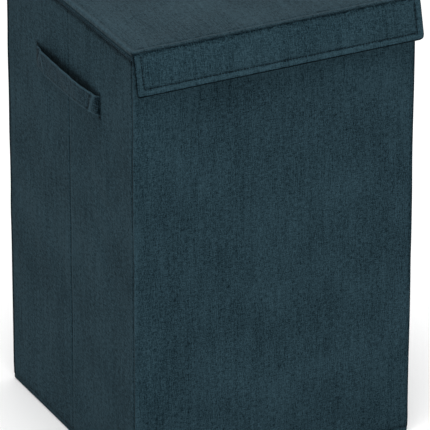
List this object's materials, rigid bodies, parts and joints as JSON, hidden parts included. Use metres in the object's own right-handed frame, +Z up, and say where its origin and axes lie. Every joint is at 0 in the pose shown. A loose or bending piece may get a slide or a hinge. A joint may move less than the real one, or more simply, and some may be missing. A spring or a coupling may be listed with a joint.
{
  "type": "fabric storage bin",
  "caption": "Tall square fabric storage bin or hamper: boards in linen-look cloth, folding side walls, lift-up base insert, hinged lid with a front flap, strap handles.",
  "frame": {"origin": "on the floor, under the middle of the four walls", "axes": "+Z up, front flap towards -Y, handles on the -X and +X sides"},
  "size_m": [0.374, 0.3498, 0.55],
  "materials": {
    "linen_cloth": "heathered linen weave, dark teal navy",
    "strap_cloth": "the same linen weave, folded and stitched",
    "binding_tape": "linen weave folded over the rim",
    "lining_cloth": "grey non-woven lining",
    "board": "grey-brown pressed paper board"
  },
  "bodies": {
    "back": {"back_outer_cloth": "linen_cloth", "back_board": "board", "back_lining": "lining_cloth", "back_rim_binding": "binding_tape", "bottom_cloth": "linen_cloth", "lid_hinge_strip": "linen_cloth", "base_hinge_tape": "lining_cloth"},
    "base_insert": {"base_board": "board", "base_cover": "lining_cloth"},
    "left_rear": {"left_rear_outer_cloth": "linen_cloth", "left_rear_board": "board", "left_rear_lining": "lining_cloth", "left_rear_rim_binding": "binding_tape", "left_rear_corner_tape": "lining_cloth", "left_rear_handle_patch": "lining_cloth", "left_crease_fold": "linen_cloth", "left_handle_strap": "strap_cloth"},
    "left_front": {"left_front_outer_cloth": "linen_cloth", "left_front_board": "board", "left_front_lining": "lining_cloth", "left_front_rim_binding": "binding_tape", "left_front_corner_tape": "lining_cloth", "left_front_handle_patch": "lining_cloth"},
    "right_rear": {"right_rear_outer_cloth": "linen_cloth", "right_rear_board": "board", "right_rear_lining": "lining_cloth", "right_rear_rim_binding": "binding_tape", "right_rear_corner_tape": "lining_cloth", "right_rear_handle_patch": "lining_cloth", "right_crease_fold": "linen_cloth", "right_handle_strap": "strap_cloth"},
    "right_front": {"right_front_outer_cloth": "linen_cloth", "right_front_board": "board", "right_front_lining": "lining_cloth", "right_front_rim_binding": "binding_tape", "right_front_corner_tape": "lining_cloth", "right_front_handle_patch": "lining_cloth"},
    "front": {"front_outer_cloth": "linen_cloth", "front_board": "board", "front_lining": "lining_cloth", "front_rim_binding": "binding_tape"},
    "lid": {"lid_top_cloth": "linen_cloth", "lid_board": "board", "lid_lining": "lining_cloth", "flap_fold": "linen_cloth"},
    "flap": {"flap_outer_cloth": "linen_cloth", "flap_board": "board", "flap_lining": "lining_cloth"}
  },
  "joints": [
    {"name": "side_fold", "type": "hinge", "parent": "back", "child": "left_rear", "pos_m": [-0.1705, 0.154, 0.275], "axis": [0, 0, -1], "range_deg": [-85, 0], "deforming": ["bottom_cloth"]},
    {"name": "left_crease", "type": "hinge", "parent": "left_rear", "child": "left_front", "pos_m": [-0.175, 0, 0.275], "axis": [0, 0, -1], "range_deg": [0, 170], "deforming": ["left_handle_strap"]},
    {"name": "front_corner", "type": "hinge", "parent": "left_front", "child": "front", "pos_m": [-0.1705, -0.154, 0.275], "axis": [0, 0, -1], "range_deg": [-85, 0]},
    {"name": "right_corner", "type": "hinge", "parent": "back", "child": "right_rear", "pos_m": [0.1705, 0.154, 0.275], "axis": [0, 0, 1], "range_deg": [-85, 0]},
    {"name": "right_crease", "type": "hinge", "parent": "right_rear", "child": "right_front", "pos_m": [0.175, 0, 0.275], "axis": [0, 0, 1], "range_deg": [0, 170], "deforming": ["right_handle_strap"]},
    {"name": "base_lift", "type": "hinge", "parent": "back", "child": "base_insert", "pos_m": [0, 0.1595, 0.0052], "axis": [1, 0, 0], "range_deg": [-90, 0]},
    {"name": "lid_hinge", "type": "hinge", "parent": "back", "child": "lid", "pos_m": [0, 0.1669, 0.5492], "axis": [-1, 0, 0], "range_deg": [0, 265]},
    {"name": "flap_crease", "type": "hinge", "parent": "lid", "child": "flap", "pos_m": [0, -0.1695, 0.5492], "axis": [-1, 0, 0], "range_deg": [-11, 70]}
  ],
  "couplings": [
    {"joint": "left_crease", "follows": "side_fold", "ratio": -2},
    {"joint": "front_corner", "follows": "side_fold", "ratio": 1},
    {"joint": "right_corner", "follows": "side_fold", "ratio": 1},
    {"joint": "right_crease", "follows": "side_fold", "ratio": -2}
  ]
}
